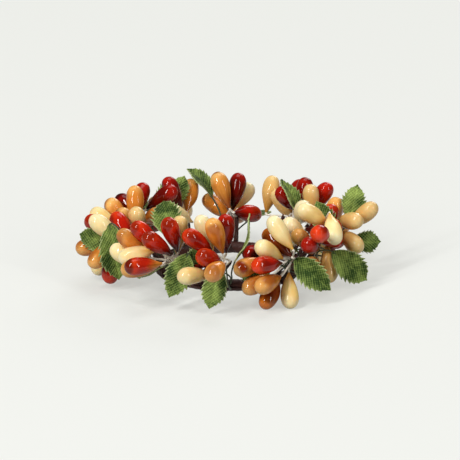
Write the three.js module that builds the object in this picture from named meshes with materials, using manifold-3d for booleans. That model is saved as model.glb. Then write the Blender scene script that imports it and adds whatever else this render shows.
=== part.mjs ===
// A small ring of artificial berries and cloth leaves, open in the middle.
// A wire hoop wound with floral tape holds ten sprays. Each spray is a few bunches of lacquered
// pips, one colour to a bunch, and two or three leaves. Every bunch and every leaf has its own
// shank, whose tail lies along the wire under the tape and comes out through a slit between turns.
// Units are millimetres and degrees, +Z is up, and the front of the ring faces -Y.

import * as THREE from 'three';
import Module from 'manifold-3d';
import { mergeVertices } from 'three/addons/utils/BufferGeometryUtils.js';

const wasm = await Module();
wasm.setup();

// The hole through the middle, kept clear of every pip
const OPENING_RADIUS = 11.9;

// Hoop and tape. The hoop's wire lies outside the hole by the offset.
const HOOP_OFFSET = 5.1;
const WIRE_DIAMETER = 1.2;
const TAIL_DIAMETER = 0.44;
const TAIL_CLEARANCE = 0.13;
const TAPE_THICKNESS = 0.25;
const TAIL_LENGTH = 1.4;
const SLIT_WIDTH = 1.5;
const SLIT_OFFSET = 1.2;
const SLIT_DEPTH = 0.5;

// Pips and their stems
const PIP_LENGTH = 10;
const PIP_DIAMETER = 4.5;
const STEM_DIAMETER = 0.6;
const SHANK_DIAMETER = 0.84;
const KNOT_SPACING = 1.5;
const PIP_GAP = 0.3;
const STAND_HEIGHT = 4.4;

// Leaves
const LEAF_THICKNESS = 0.34;
const LEAF_FOLD = 0.12;
const LEAF_BOW = 0.1;
const LEAF_GAP = 0.35;
const STALK_DIAMETER = 0.44;
const STALK_LENGTH = 2.5;
const STALK_SLACK = 0.25;

// Facets
const HOOP_STEPS = 40;
const WIRE_SIDES = 6;
const TAPE_SIDES = 8;
const PIP_SIDES = 8;
const STEM_SIDES = 4;
const SHANK_SIDES = 5;
const BEAD_ROWS = 9;
const BEAD_COLUMNS = [-1, -0.5, 0, 0.5, 1];
const MERGE_DISTANCE = 0.001;

// Settling: rounds, rounds between looks for neighbours, pulls towards the laid place, and how
// steeply a viewer in front looks down
const SETTLE_ROUNDS = 400;
const SETTLE_LOOK = 20;
const HOME_PULL = 0.2;
const HOME_ROUNDS = 320;
const STEM_PULL = 0.05;
const SIGHT_DROP = 16;
const LOOK_DISTANCE = 3.25;
const LEAST_WEIGHT = 0.2;
const TINY = 1e-6;

// Half outline of a pip: share of its length from the tip, and share of its radius
const PIP_PROFILE = [[0.06, 0.62], [0.32, 1], [0.68, 0.76]];

// Half outline of a leaf: share of its length from the tip, and share of its half width
const LEAF_PROFILE = [
  [0.1, 0.2], [0.14, 0.38], [0.3, 0.48], [0.34, 0.74], [0.52, 0.74], [0.56, 1], [0.75, 0.82],
  [0.79, 0.94], [0.94, 0.4],
];

const COLOURS = { red: '#8f1a10', amber: '#b8701f', cream: '#f0d9a0' };
const LEAF_COLOURS = ['#3f6a2b', '#557f38'];

// What one unit of length in the rows below stands for
const ROW_LENGTH = 1;

// The sprays, laid out by hand. azimuth turns anticlockwise from +X, out and up place the knot
// where the stems meet, from the hoop's wire. A pip is [out, side, up, turn, rise]: its tip from
// the knot, then the way it points. A leaf is [out, side, up, turn, rise, roll, length, width]:
// the foot of its blade from the knot, the way it points, its roll, and its size.
const SPRAYS = [
  {
    name: 'a', azimuth: 227, out: 4, up: 6,
    pips: {
      red: [[4, -9.5, 8.5, -65, 40], [7, -2, 7.5, -15, 45], [11, -5, -0.5, -25, 0],
        [2.5, 1, 11.5, -5, 70]],
      amber: [[6.5, -12, 6, -65, 40], [9, -8.5, -2, -45, -5], [-2, 1.5, 11, 155, 85]],
      cream: [[7.5, -13, 3, -60, 25], [9.5, -9.5, 0.5, -45, -5], [0.5, -12.5, 6.5, -85, 30]],
    },
    leaves: [
      [1.5, 7.5, 3.5, 0, -55, -45, 12, 7.5],
      [-7, -6, 2.5, -120, 45, -20, 11.5, 8],
      [1, -1, -1.5, -60, -25, -20, 8, 5.5],
    ],
  },
  {
    name: 'b', azimuth: 268, out: 3.5, up: 7.4,
    pips: {
      red: [[4, -10, 8.5, -70, 40], [-1, 0, 12, -165, 85], [8, -6, 3.5, -35, 25],
        [4.5, -11, -1, -70, 0]],
      amber: [[2.5, -3.5, 11.5, -60, 70], [11, -3.5, -1, -20, -5]],
      cream: [[-0.5, -6.5, 11.5, -95, 70], [7.5, -11.5, -4.5, -60, -5]],
    },
    leaves: [
      [7, -1, 0.5, -70, -75, -70, 11, 6.5],
      [2.5, 2.5, 0.5, 125, 70, 145, 12.5, 5],
      [-2.5, -9, -2, 65, 45, 105, 8, 6],
    ],
  },
  {
    name: 'c', azimuth: 319, out: 4, up: 6,
    pips: {
      red: [[-7, -10.5, 2.5, -125, 15], [-0.5, -14, 0.5, -95, 5]],
      cream: [[5.5, -7.5, -10, -50, -50], [10.5, 0.5, -5.5, 0, -30], [-3.5, -4, 10.5, -130, 65],
        [-2.5, -10.5, 5.5, -100, 30]],
      amber: [[-6, -16, 1, -110, -5], [-1.5, -16.5, -5, -95, -15], [2, -15.5, -3.5, -85, -5],
        [2.5, -12.5, -9, -75, -35], [-4, -6, 6.5, -125, 35]],
    },
    leaves: [
      [2, -1, 0.5, 15, -35, 65, 12, 7.5],
      [-1, -6.5, -1.5, -135, -10, -80, 8.5, 5.5],
      [0, 2.5, 1, -140, 65, -165, 9, 4.5],
    ],
  },
  {
    name: 'd', azimuth: 356, out: 5, up: 6,
    pips: {
      red: [[0.5, -8.5, 5.5, -110, 20], [-1.5, -11.5, 3, -100, 10], [4, -1, 7, -70, 80],
        [6.5, -1, 1, -10, -10], [7.5, 3, 0.5, 25, -15]],
      amber: [[-4, -10, 5.5, -110, 30], [-0.5, -11.5, -2, -85, 15]],
      cream: [[-7, -8.5, 8.5, -125, 40], [-4, -0.5, 9.5, -175, 40], [4, -9, 2, -75, -20],
        [4, -6, -8, -80, -55]],
    },
    leaves: [
      [4.5, -4, -0.5, 0, -40, 75, 11.5, 8],
      [4.5, 3.5, -1, 140, 60, -45, 12, 7],
    ],
  },
  {
    name: 'e', azimuth: 24, out: 6, up: 8,
    pips: {
      red: [[7, -4.5, 2.5, -35, 30], [9, 5, -3, 30, -25]],
      amber: [[6, -3, 7.5, -40, 80], [8, -7, 3, -45, 40], [11, 2, 4, 10, 20]],
      cream: [[12.5, -10.5, 6.5, -45, 40], [6.5, -14, 2, -65, 5], [6, -16, -2, -70, -10],
        [6, 3, -12, 20, -65]],
    },
    leaves: [
      [8.5, -5, 1.5, 35, 65, 30, 9.5, 6.5],
      [6, -11, -2, -10, -5, 80, 8, 6],
    ],
  },
  {
    name: 'f', azimuth: 50, out: 7, up: 8,
    pips: {
      red: [[3, -4.5, 8.5, -60, 75], [5, -8.5, 9, -60, 50], [-4, 1, 5, 160, 45],
        [10, 5, 3, 30, 15]],
      amber: [[2, 6.5, 9, 25, 60], [-0.5, 3, 6.5, 100, 60], [11, -1, 1, -5, 5]],
      cream: [[0, -5.5, 8.5, -115, 70], [-4, -10, 6, -115, 35], [6, 4, -12, 25, -65]],
    },
    leaves: [
      [-3.5, -6, 1.5, 95, 60, 0, 10.5, 5.5],
      [6, 3, 0, 20, 10, 0, 10, 7],
    ],
  },
  {
    name: 'g', azimuth: 184, out: 4, up: 6,
    pips: {
      red: [[15, -3.5, 6, -15, 15], [9.5, 3, 7.5, 20, 50], [11, -5.5, -5.5, -55, -65],
        [9, 4, -8.5, 75, -70]],
      amber: [[17.5, -0.5, -1, 0, -10], [12.5, 2.5, -4.5, 20, -55]],
      cream: [[12.5, -8.5, 7, -35, 25], [12.5, 2.5, 6, 15, 30], [12.5, -2.5, -8.5, -15, -65]],
    },
    leaves: [
      [9, 5, 7, 150, -80, 60, 14.5, 8.5],
      [8, 1, 0.5, -15, 15, -75, 9, 6.5],
    ],
  },
  {
    name: 'h', azimuth: 155, out: 8, up: 8,
    pips: {
      red: [[7, -1.5, 6, -5, 30], [1.5, -8.5, 7.5, -90, 35], [-6, -10, 7.5, -125, 25],
        [7, -6, -2, -40, -10]],
      amber: [[7, 4, 6.5, 30, 50], [3, -3.5, 8, -80, 60], [0.5, 8.5, 4.5, 90, 30],
        [-8.5, 4, 5, 155, 30]],
      cream: [[0, 3, 4.5, 105, 60], [6, -4, -12, -25, -65]],
    },
    leaves: [
      [-1.5, -8, 2, -115, 45, 50, 9, 6.5],
      [5, -2, -2, -10, 0, 0, 10, 7],
    ],
  },
  {
    name: 'i', azimuth: 122, out: 5, up: 7,
    pips: {
      red: [[10, -2, 5, -10, 30], [3, 3, 11, 20, 65], [9, 6, -3, 30, -25]],
      amber: [[11.5, 2, 1, 10, 5], [6, -6, 8, -45, 45], [6, -5, -11, -35, -65]],
      cream: [[-2, 5.5, 4, 105, 30], [6, 4, 7, 40, 45], [10, -6, 0, -30, 0]],
    },
    leaves: [
      [4.5, 0.5, 2.5, -100, 65, 65, 8.5, 6],
      [5, 4, 0, 25, 5, 0, 11, 7],
    ],
  },
  {
    name: 'j', azimuth: 88, out: 5, up: 7,
    pips: {
      red: [[5, -2, 10, -20, 60], [11, 3, 3, 15, 15], [8, -7, -2, -40, -15]],
      amber: [[2, 4, 11, 60, 65], [11, -2, -3, -10, -15], [7, 7, 3, 45, 20]],
      cream: [[8, -5, 6, -35, 35], [6, 4, -11, 30, -65]],
    },
    leaves: [
      [5, -4, -3, -25, 0, 0, 11, 7],
      [3, 5, 4, 60, 40, 0, 10, 6.5],
    ],
  },
];

// Sizes that follow from the ones above
const HOOP_RADIUS = OPENING_RADIUS + HOOP_OFFSET;
const LINE_RADIUS = WIRE_DIAMETER / 2 + TAIL_CLEARANCE + TAIL_DIAMETER / 2;
const TAPE_INNER_RADIUS = LINE_RADIUS + TAIL_DIAMETER / 2 + 2 * TAIL_CLEARANCE;
const TAPE_RADIUS = TAPE_INNER_RADIUS + TAPE_THICKNESS;
const EXIT_RADIUS = TAPE_RADIUS + 2 * TAIL_DIAMETER;
const PIP_RADIUS = PIP_DIAMETER / 2;
const STEM_RADIUS = STEM_DIAMETER / 2;
const SHANK_RADIUS = SHANK_DIAMETER / 2;
const TAIL_RADIUS = TAIL_DIAMETER / 2;
const STALK_RADIUS = STALK_DIAMETER / 2;

// Lines along the wire on which tails lie, in degrees round its section, from level and outward
const FIRST_LINE = -5;
const LINE_STEP = 36;

// The side of a spray's middle on which its bunches or its leaves come out of the tape
const BUNCH_SIDE = -1;
const LEAF_SIDE = 1;

const radians = THREE.MathUtils.degToRad;

// The line of sight of a viewer in front of the ring
const SIGHT = new THREE.Vector3(0, Math.cos(radians(SIGHT_DROP)), -Math.sin(radians(SIGHT_DROP)));

// A point on the section of the hoop at an azimuth, given by its polar place in the section
function hoopPoint(azimuth, distance, angle) {
  const radius = HOOP_RADIUS + distance * Math.cos(radians(angle));
  return new THREE.Vector3(
    radius * Math.cos(radians(azimuth)),
    radius * Math.sin(radians(azimuth)),
    distance * Math.sin(radians(angle)),
  );
}

// Turns out, side and up at an azimuth into a vector
function local(azimuth, out, side, up) {
  const angle = radians(azimuth);
  return new THREE.Vector3(
    out * Math.cos(angle) - side * Math.sin(angle),
    out * Math.sin(angle) + side * Math.cos(angle),
    up,
  );
}

// A unit vector that points turn degrees round from an azimuth and rise degrees up
function heading(azimuth, turn, rise) {
  const flat = Math.cos(radians(rise));
  return local(azimuth + turn, flat, 0, Math.sin(radians(rise)));
}

// Stitches rings of points into one closed body. A ring has one point, or as many as its
// neighbour, or half or twice as many.
function loft(rings) {
  const positions = [];
  const starts = [];
  for (const ring of rings) {
    starts.push(positions.length / 3);
    for (const point of ring) positions.push(point.x, point.y, point.z);
  }
  const faces = [];
  for (let k = 0; k + 1 < rings.length; k += 1) {
    joinRings(faces, starts[k], rings[k].length, starts[k + 1], rings[k + 1].length);
  }
  const last = rings.length - 1;
  for (let i = 1; i + 1 < rings[0].length; i += 1) {
    faces.push(starts[0], starts[0] + i + 1, starts[0] + i);
  }
  for (let i = 1; i + 1 < rings[last].length; i += 1) {
    faces.push(starts[last], starts[last] + i, starts[last] + i + 1);
  }
  const geometry = new THREE.BufferGeometry();
  geometry.setAttribute('position', new THREE.Float32BufferAttribute(positions, 3));
  geometry.setIndex(faces);
  return geometry;
}

function joinRings(faces, a, countA, b, countB) {
  const count = Math.max(countA, countB);
  const shareA = countA / count;
  const shareB = countB / count;
  for (let i = 0; i < count; i += 1) {
    const a0 = a + Math.floor(i * shareA) % countA;
    const a1 = a + Math.floor((i + 1) * shareA) % countA;
    const b0 = b + Math.floor(i * shareB) % countB;
    const b1 = b + Math.floor((i + 1) * shareB) % countB;
    if (a0 !== a1) faces.push(a0, a1, b0);
    if (b0 !== b1) faces.push(a1, b1, b0);
  }
}

// Frames carried along a path without twist
function framesAlong(path, firstSide) {
  const frames = [];
  let side = firstSide.clone();
  for (let k = 0; k < path.length; k += 1) {
    const before = path[Math.max(k - 1, 0)];
    const after = path[Math.min(k + 1, path.length - 1)];
    const along = after.clone().sub(before).normalize();
    side = side.clone().addScaledVector(along, -side.dot(along)).normalize();
    frames.push({ at: path[k], along, side, across: along.clone().cross(side) });
  }
  return frames;
}

function ringOn(frame, radius, sides) {
  return Array.from({ length: sides }, (_, i) => {
    const angle = (i / sides) * 2 * Math.PI;
    return frame.at.clone()
      .addScaledVector(frame.side, radius * Math.cos(angle))
      .addScaledVector(frame.across, radius * Math.sin(angle));
  });
}

// A unit vector square to a direction
function squareTo(along) {
  const steep = Math.abs(along.z) > Math.hypot(along.x, along.y);
  const reference = steep ? new THREE.Vector3(1, 0, 0) : new THREE.Vector3(0, 0, 1);
  return reference.cross(along).normalize();
}

// A tube along a path, with its radius given at each point
function tube(path, radii, sides) {
  const frames = framesAlong(path, squareTo(path[1].clone().sub(path[0])));
  return loft(frames.map((frame, k) => ringOn(frame, radii[k], sides)));
}

function toSolid(geometry) {
  const bare = geometry.clone();
  bare.deleteAttribute('normal');
  bare.deleteAttribute('uv');
  const merged = mergeVertices(bare, MERGE_DISTANCE);
  return new wasm.Manifold(new wasm.Mesh({
    numProp: 3,
    vertProperties: new Float32Array(merged.getAttribute('position').array),
    triVerts: new Uint32Array(merged.index.array),
  }));
}

function toGeometry(solid) {
  const mesh = solid.getMesh();
  const joined = new THREE.BufferGeometry();
  joined.setAttribute('position', new THREE.Float32BufferAttribute(mesh.vertProperties, 3));
  joined.setIndex(Array.from(mesh.triVerts));
  const geometry = mergeVertices(joined, MERGE_DISTANCE);
  geometry.setIndex(mainFaces(geometry.index.array));
  return geometry;
}

// The faces of the largest body, without the specks that a join can leave. Two faces with an edge
// in common are in one body.
function mainFaces(index) {
  const faces = [];
  const leaders = [];
  const owners = new Map();
  const leaderOf = (face) => (leaders[face] === face ? face : leaderOf(leaders[face]));
  for (let i = 0; i < index.length; i += 3) {
    const corners = Array.from(index.slice(i, i + 3));
    if (new Set(corners).size < 3) continue;
    const face = faces.push(corners) - 1;
    leaders.push(face);
    corners.forEach((from, k) => {
      const to = corners[(k + 1) % 3];
      const edge = `${Math.min(from, to)}-${Math.max(from, to)}`;
      if (owners.has(edge)) leaders[leaderOf(owners.get(edge))] = leaderOf(face);
      owners.set(edge, face);
    });
  }
  const bodies = [...Map.groupBy(faces.keys(), leaderOf).values()];
  const largest = bodies.reduce((most, body) => (body.length > most.length ? body : most));
  return largest.flatMap((face) => faces[face]);
}

function named(name, geometry, colour, roughness, metalness) {
  geometry.computeVertexNormals();
  const material = new THREE.MeshStandardMaterial({ color: colour, roughness, metalness });
  const mesh = new THREE.Mesh(geometry, material);
  mesh.name = name;
  return mesh;
}

// Hoop wire and tape

function hoopTube(radius, sides, turn) {
  const outline = Array.from({ length: sides + 1 }, (_, i) => {
    const angle = radians(turn) + (i / sides) * 2 * Math.PI;
    return new THREE.Vector2(HOOP_RADIUS + radius * Math.cos(angle), radius * Math.sin(angle));
  });
  return new THREE.LatheGeometry(outline, HOOP_STEPS).rotateX(Math.PI / 2);
}

// The azimuth of one of a spray's two slits: its bunches come out of one, its leaves of the other
function slitAzimuth(spray, side) {
  return spray.azimuth + side * THREE.MathUtils.radToDeg(SLIT_OFFSET / HOOP_RADIUS);
}

// A slit between two turns of the tape
function slit(azimuth) {
  const depth = 2 * TAPE_RADIUS + 1;
  const height = TAPE_RADIUS + 1;
  const box = new THREE.BoxGeometry(depth, SLIT_WIDTH, height);
  box.translate(HOOP_RADIUS, 0, height / 2 - SLIT_DEPTH);
  return box.rotateZ(radians(azimuth));
}

function tapeWrap() {
  const halfSide = 180 / TAPE_SIDES;
  let solid = toSolid(hoopTube(TAPE_RADIUS, TAPE_SIDES, halfSide));
  solid = solid.subtract(toSolid(hoopTube(TAPE_INNER_RADIUS, TAPE_SIDES, halfSide)));
  for (const spray of SPRAYS) {
    solid = solid.subtract(toSolid(slit(slitAzimuth(spray, BUNCH_SIDE))));
    solid = solid.subtract(toSolid(slit(slitAzimuth(spray, LEAF_SIDE))));
  }
  return toGeometry(solid);
}

// Shanks

// The start of a shank's path: along the wire under the tape, then out through the slit
function tailPath(spray, side, line) {
  const azimuth = slitAzimuth(spray, side);
  const angle = FIRST_LINE + line * LINE_STEP;
  const perDegree = HOOP_RADIUS * radians(1);
  const bend = SLIT_WIDTH / 2 / perDegree;
  return [
    hoopPoint(azimuth + side * (bend + TAIL_LENGTH / perDegree), LINE_RADIUS, angle),
    hoopPoint(azimuth + side * bend, LINE_RADIUS, angle),
    hoopPoint(azimuth, TAPE_INNER_RADIUS, angle),
    hoopPoint(azimuth, EXIT_RADIUS, angle),
  ];
}

// The middle of a spray's knots
function centreOf(spray) {
  return local(spray.azimuth, HOOP_RADIUS + spray.out * ROW_LENGTH, 0, spray.up * ROW_LENGTH);
}

// The place of a spray's row
function rowPlace(spray, out, side, up) {
  return centreOf(spray).addScaledVector(local(spray.azimuth, out, side, up), ROW_LENGTH);
}

function knotOf(spray, index) {
  const middle = (Object.keys(spray.pips).length - 1) / 2;
  return centreOf(spray).add(local(spray.azimuth, 0, (index - middle) * KNOT_SPACING, 0));
}

function bunchShank(spray, index, knot) {
  const tail = tailPath(spray, BUNCH_SIDE, index);
  const rise = knot.clone().sub(tail[tail.length - 1]).normalize();
  const path = [
    ...tail,
    knot.clone().addScaledVector(rise, -SHANK_DIAMETER),
    knot.clone().addScaledVector(rise, STEM_RADIUS),
  ];
  const radii = path.map((_, k) => (k < tail.length ? TAIL_RADIUS : SHANK_RADIUS));
  return tube(path, radii, SHANK_SIDES);
}

// Pips

function layPips() {
  const pips = [];
  for (const spray of SPRAYS) {
    Object.entries(spray.pips).forEach(([colour, rows], index) => {
      const knot = knotOf(spray, index);
      for (const [out, side, up, turn, rise] of rows) {
        const tip = rowPlace(spray, out, side, up);
        const neck = tip.clone().addScaledVector(heading(spray.azimuth, turn, rise), -PIP_LENGTH);
        const mid = knot.clone().lerp(neck, 0.5);
        const exit = tailPath(spray, BUNCH_SIDE, index).pop();
        const node = `spray_${spray.name}_${colour}_pips`;
        pips.push({ node, tip, neck, mid, knot, exit, stretches: PIP_STRETCHES });
      }
    });
  }
  return pips;
}

// Rounded bars that stand for a pip and its stem, or for a leaf's stalk, while the sprays settle.
// Each runs between two shares of the way from one end to the other, with a radius at both. The
// ones near the knot are shared: there the stems of one bunch may meet.
const [, [PEAK_SHARE], [WAIST_SHARE, WAIST_SIZE]] = PIP_PROFILE;
const WAIST_RADIUS = PIP_RADIUS * WAIST_SIZE;
const CAP_SHARE = PIP_RADIUS / PIP_LENGTH;
const PIP_STRETCHES = [
  { from: CAP_SHARE, to: PEAK_SHARE, radii: [PIP_RADIUS, PIP_RADIUS], ends: ['tip', 'neck'] },
  { from: PEAK_SHARE, to: WAIST_SHARE, radii: [PIP_RADIUS, WAIST_RADIUS], ends: ['tip', 'neck'] },
  { from: WAIST_SHARE, to: 1, radii: [WAIST_RADIUS, STEM_RADIUS], ends: ['tip', 'neck'] },
  { from: 0, to: 1, radii: [STEM_RADIUS, STEM_RADIUS], ends: ['neck', 'mid'] },
  { from: 0, to: 1, radii: [STEM_RADIUS, STEM_RADIUS], ends: ['mid', 'knot'], shared: true },
  { from: 0, to: 1, radii: [SHANK_RADIUS, SHANK_RADIUS], ends: ['knot', 'exit'], shared: true },
];
const STALK_STRETCHES = [['exit', 'low'], ['low', 'high'], ['high', 'foot']]
  .map((ends) => ({ from: 0, to: 1, radii: [STALK_RADIUS, STALK_RADIUS], ends }));
const FIXED_ENDS = ['knot', 'exit', 'foot'];

function stretchLine(piece, stretch) {
  const [first, second] = stretch.ends;
  const a = piece[first].clone().lerp(piece[second], stretch.from);
  const b = piece[first].clone().lerp(piece[second], stretch.to);
  return { a, b };
}

function radiusAt(stretch, share) {
  return THREE.MathUtils.lerp(stretch.radii[0], stretch.radii[1], share);
}

// The shares along two straight lines at which they come nearest
function nearestShares(p, q) {
  const alongP = p.b.clone().sub(p.a);
  const alongQ = q.b.clone().sub(q.a);
  const between = p.a.clone().sub(q.a);
  const pp = Math.max(alongP.lengthSq(), TINY);
  const qq = Math.max(alongQ.lengthSq(), TINY);
  const pq = alongP.dot(alongQ);
  const pBetween = alongP.dot(between);
  const qBetween = alongQ.dot(between);
  const spread = Math.max(pp * qq - pq * pq, TINY);
  const onP = THREE.MathUtils.clamp((pq * qBetween - pBetween * qq) / spread, 0, 1);
  const t = THREE.MathUtils.clamp((pq * onP + qBetween) / qq, 0, 1);
  const s = THREE.MathUtils.clamp((pq * t - pBetween) / pp, 0, 1);
  return { s, t };
}

// Moves the ends of a stretch so that the point at a share of it moves by a given step
function nudge(piece, stretch, share, step) {
  const at = THREE.MathUtils.lerp(stretch.from, stretch.to, share);
  const weights = [1 - at, at].map((w, k) => (FIXED_ENDS.includes(stretch.ends[k]) ? 0 : w));
  const sum = Math.max(weights[0] ** 2 + weights[1] ** 2, LEAST_WEIGHT);
  weights.forEach((weight, k) => piece[stretch.ends[k]].addScaledVector(step, weight / sum));
}

// A ball round all the stretches of a piece, with room to move in
function ballOf(piece) {
  const ends = piece.stretches.flatMap((stretch) => stretch.ends.map((end) => piece[end]));
  const ball = new THREE.Box3().setFromPoints(ends).getBoundingSphere(new THREE.Sphere());
  ball.radius += LOOK_DISTANCE;
  return ball;
}

// Pushes two pieces apart where they are nearer than the gap. Bunch mates meet at their knot.
function partPieces(first, second) {
  const mates = first.node === second.node;
  for (const p of first.stretches) {
    for (const q of second.stretches.filter((each) => !(mates && p.shared && each.shared))) {
      const lineP = stretchLine(first, p);
      const lineQ = stretchLine(second, q);
      const { s, t } = nearestShares(lineP, lineQ);
      const apart = lineP.a.lerp(lineP.b, s).sub(lineQ.a.lerp(lineQ.b, t));
      const gap = apart.length() - radiusAt(p, s) - radiusAt(q, t);
      if (gap < PIP_GAP) {
        const step = apart.setLength((PIP_GAP - gap) / 2);
        nudge(first, p, s, step);
        nudge(second, q, t, step.clone().negate());
      }
    }
  }
}

// Pushes a piece off a fixed bead, such as a point of a leaf
function partBead(piece, bead) {
  for (const stretch of piece.stretches) {
    const line = stretchLine(piece, stretch);
    const along = line.b.clone().sub(line.a);
    const share = bead.at.clone().sub(line.a).dot(along) / Math.max(along.lengthSq(), TINY);
    const s = THREE.MathUtils.clamp(share, 0, 1);
    const apart = line.a.lerp(line.b, s).sub(bead.at);
    const gap = apart.length() - radiusAt(stretch, s) - bead.radius;
    if (gap < 0) nudge(piece, stretch, s, apart.setLength(-gap));
  }
}

// Keeps a piece off the hole in the middle, the taped hoop and the level the ring stands on
function partHoop(piece) {
  for (const stretch of piece.stretches) {
    const line = stretchLine(piece, stretch);
    for (const [s, at] of [line.a, line.b].entries()) {
      const radius = stretch.radii[s];
      const flat = Math.hypot(at.x, at.y);
      const outward = new THREE.Vector3(at.x / flat, at.y / flat, 0);
      const inside = OPENING_RADIUS + radius - flat;
      if (inside > 0) nudge(piece, stretch, s, outward.clone().multiplyScalar(inside));
      const fromWire = new THREE.Vector3(0, 0, at.z).addScaledVector(outward, flat - HOOP_RADIUS);
      const sunk = TAPE_RADIUS + PIP_GAP + radius - fromWire.length();
      if (sunk > 0) nudge(piece, stretch, s, fromWire.setLength(sunk));
      const low = radius - STAND_HEIGHT - at.z;
      if (low > 0) nudge(piece, stretch, s, new THREE.Vector3(0, 0, low));
    }
  }
}

// Lets the pieces settle: each is drawn to its place, and pushed off whatever it touches
function settle(pieces, beads) {
  const homes = pieces.map((piece) => homeOf(piece));
  let pairs = [];
  let touches = [];
  for (let round = 0; round < SETTLE_ROUNDS; round += 1) {
    if (round % SETTLE_LOOK === 0) {
      const balls = pieces.map(ballOf);
      pairs = pieces.flatMap((first, i) => pieces.slice(i + 1)
        .filter((second, j) => balls[i].intersectsSphere(balls[i + 1 + j]))
        .map((second) => [first, second]));
      touches = pieces.map((piece, i) => beads
        .filter((bead) => bead.node !== piece.node && balls[i].containsPoint(bead.at)));
    }
    const pull = HOME_PULL * Math.max(0, 1 - round / HOME_ROUNDS);
    pieces.forEach((piece, k) => drawHome(piece, homes[k], pull));
    for (const [first, second] of pairs) partPieces(first, second);
    pieces.forEach((piece, k) => {
      for (const bead of touches[k]) partBead(piece, bead);
      partHoop(piece);
      if (piece.neck) keepLength(piece);
    });
  }
}

// The ends of a piece that have a place of their own to go back to
function homeOf(piece) {
  const ends = piece.neck ? ['tip', 'neck'] : ['low', 'high'];
  return ends.map((end) => [end, piece[end].clone()]);
}

// Draws a piece back to its place as seen from the front. Along the line of sight it stays free.
function drawHome(piece, home, pull) {
  for (const [end, place] of home) {
    const step = place.clone().sub(piece[end]).projectOnPlane(SIGHT);
    piece[end].addScaledVector(step, pull);
  }
  if (piece.neck) piece.mid.lerp(piece.knot.clone().lerp(piece.neck, 0.5), STEM_PULL);
}

function keepLength(pip) {
  const along = pip.tip.clone().sub(pip.neck);
  const extra = (along.length() - PIP_LENGTH) / 2;
  along.normalize();
  pip.tip.addScaledVector(along, -extra);
  pip.neck.addScaledVector(along, extra);
}

function pipSolid(pip) {
  const axis = pip.neck.clone().sub(pip.tip);
  const path = [
    pip.tip,
    ...PIP_PROFILE.map(([share]) => pip.tip.clone().addScaledVector(axis, share)),
    pip.neck,
    pip.mid,
    pip.knot,
  ];
  const frames = framesAlong(path, squareTo(axis));
  const rings = frames.map((frame, k) => {
    if (k === 0) return [pip.tip];
    if (k <= PIP_PROFILE.length) return ringOn(frame, PIP_RADIUS * PIP_PROFILE[k - 1][1], PIP_SIDES);
    return ringOn(frame, STEM_RADIUS, STEM_SIDES);
  });
  return toSolid(loft(rings));
}

// Leaves

function layLeaves() {
  const leaves = [];
  for (const spray of SPRAYS) {
    spray.leaves.forEach(([out, side, up, turn, rise, roll, length, width], index) => {
      const foot = rowPlace(spray, out, side, up);
      const along = heading(spray.azimuth, turn, rise);
      const level = heading(spray.azimuth, turn + 90, 0);
      const across = level.clone().applyAxisAngle(along, radians(roll));
      const tail = tailPath(spray, LEAF_SIDE, index);
      const exit = tail.pop();
      const outward = exit.clone().sub(tail[tail.length - 1]);
      leaves.push({
        node: `spray_${spray.name}_leaf_${index + 1}`,
        tail,
        exit,
        low: exit.clone().add(outward).lerp(foot, STALK_SLACK),
        high: foot.clone().addScaledVector(along, -STALK_LENGTH).lerp(exit, STALK_SLACK),
        foot,
        along,
        across,
        normal: along.clone().cross(across),
        length: length * ROW_LENGTH,
        width: width * ROW_LENGTH,
        colour: LEAF_COLOURS[index % LEAF_COLOURS.length],
        stretches: STALK_STRETCHES,
      });
    });
  }
  return leaves;
}

// A point of a leaf: share of the length from the tip, share of the half width, and height off it.
// The blade arches along its length and folds a little along its midrib.
function leafPoint(leaf, share, half, height) {
  const bow = LEAF_BOW * leaf.length * Math.sin(Math.PI * share);
  const fold = LEAF_FOLD * leaf.width * Math.abs(half);
  return leaf.foot.clone()
    .addScaledVector(leaf.along, leaf.length * (1 - share))
    .addScaledVector(leaf.across, (half * leaf.width) / 2)
    .addScaledVector(leaf.normal, bow + fold + height);
}

function leafGeometry(leaf) {
  const stalk = [...leaf.tail, leaf.exit, leaf.low, leaf.high];
  const rings = [[leafPoint(leaf, 0, 0, 0)]];
  for (const [share, half] of LEAF_PROFILE) {
    rings.push([
      leafPoint(leaf, share, half, 0),
      leafPoint(leaf, share, 0, -LEAF_THICKNESS / 2),
      leafPoint(leaf, share, -half, 0),
      leafPoint(leaf, share, 0, LEAF_THICKNESS / 2),
    ]);
  }
  const frames = framesAlong([leaf.foot, ...stalk.slice().reverse()], leaf.across);
  for (const frame of frames.slice(1)) rings.push(ringOn(frame, STALK_RADIUS, STEM_SIDES));
  return loft(rings);
}

// The half width of a leaf at a share of its length from the tip
function halfWidthAt(share) {
  const rows = [[0, 0], ...LEAF_PROFILE, [1, 0]];
  const next = rows.findIndex(([at]) => at >= share);
  const [[from, first], [to, second]] = [rows[Math.max(next - 1, 0)], rows[next]];
  return THREE.MathUtils.mapLinear(share, from, Math.max(to, from + TINY), first, second);
}

// Fixed beads all over a leaf's blade, for the pieces round it to settle against
function leafBeads(leaf) {
  return Array.from({ length: BEAD_ROWS + 1 }, (_, i) => i / BEAD_ROWS).flatMap((share) => {
    const half = halfWidthAt(share);
    return BEAD_COLUMNS.map((column) => ({
      at: leafPoint(leaf, share, column * half, 0),
      radius: LEAF_THICKNESS / 2 + LEAF_GAP,
      node: leaf.node,
    }));
  });
}

// Assembly

const ring = new THREE.Group();
ring.add(named('hoop_wire', hoopTube(WIRE_DIAMETER / 2, WIRE_SIDES, 0), '#8a8d90', 0.4, 1));
ring.add(named('tape_wrap', tapeWrap(), '#3d2523', 0.8, 0));

const leaves = layLeaves();
const pips = layPips();
settle([...pips, ...leaves], leaves.flatMap(leafBeads));

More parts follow.
